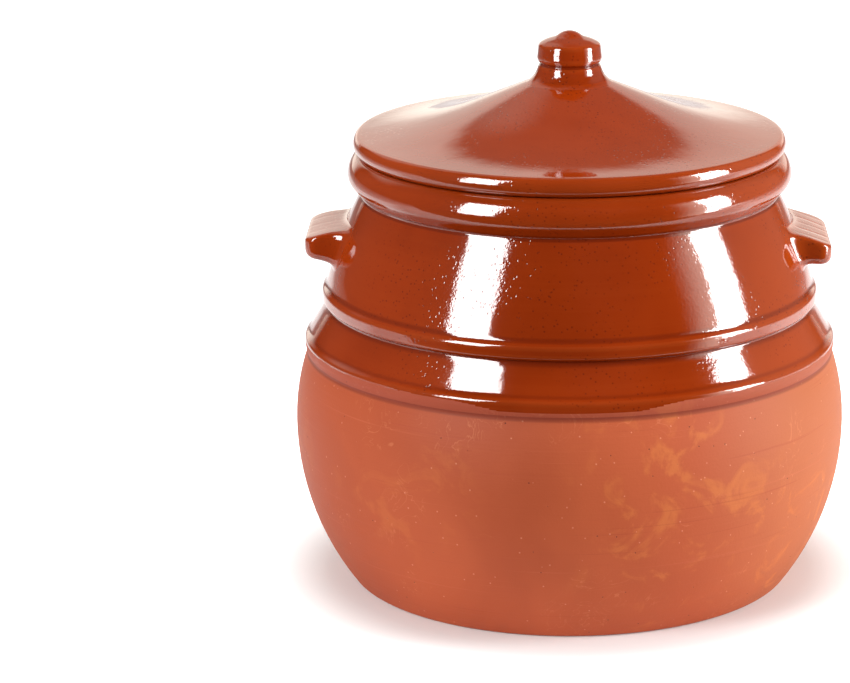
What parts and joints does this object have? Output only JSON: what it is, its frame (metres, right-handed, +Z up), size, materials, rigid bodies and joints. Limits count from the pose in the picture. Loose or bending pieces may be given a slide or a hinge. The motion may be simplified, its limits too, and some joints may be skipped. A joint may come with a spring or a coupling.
{
  "type": "lidded clay cooking pot",
  "caption": "Round-bellied clay cooking pot with lug handles on its shoulder, a rolled rim and a loose lift-off lid with a turned knob.",
  "frame": {"origin": "middle of the flat underside that the pot stands on", "axes": "+Z up along the axis that the pot was thrown about; the lugs point along +X and -X; the view from the front looks along +Y"},
  "size_m": [0.27, 0.27, 0.2714],
  "materials": {
    "bare_clay": "matte, unglazed; the vessel's upper part is glazed like the lid",
    "brown_glaze": "glossy transparent glaze over red-brown clay"
  },
  "bodies": {
    "pot": {"pot_body": "bare_clay", "left_handle": "brown_glaze", "right_handle": "brown_glaze"},
    "lid": {"lid": "brown_glaze", "lid_knob": "brown_glaze"}
  },
  "joints": [
    {"name": "lid_lift", "type": "slide", "parent": "pot", "child": "lid", "axis": [0, 0, 1], "range_m": [0, 0.15]}
  ]
}
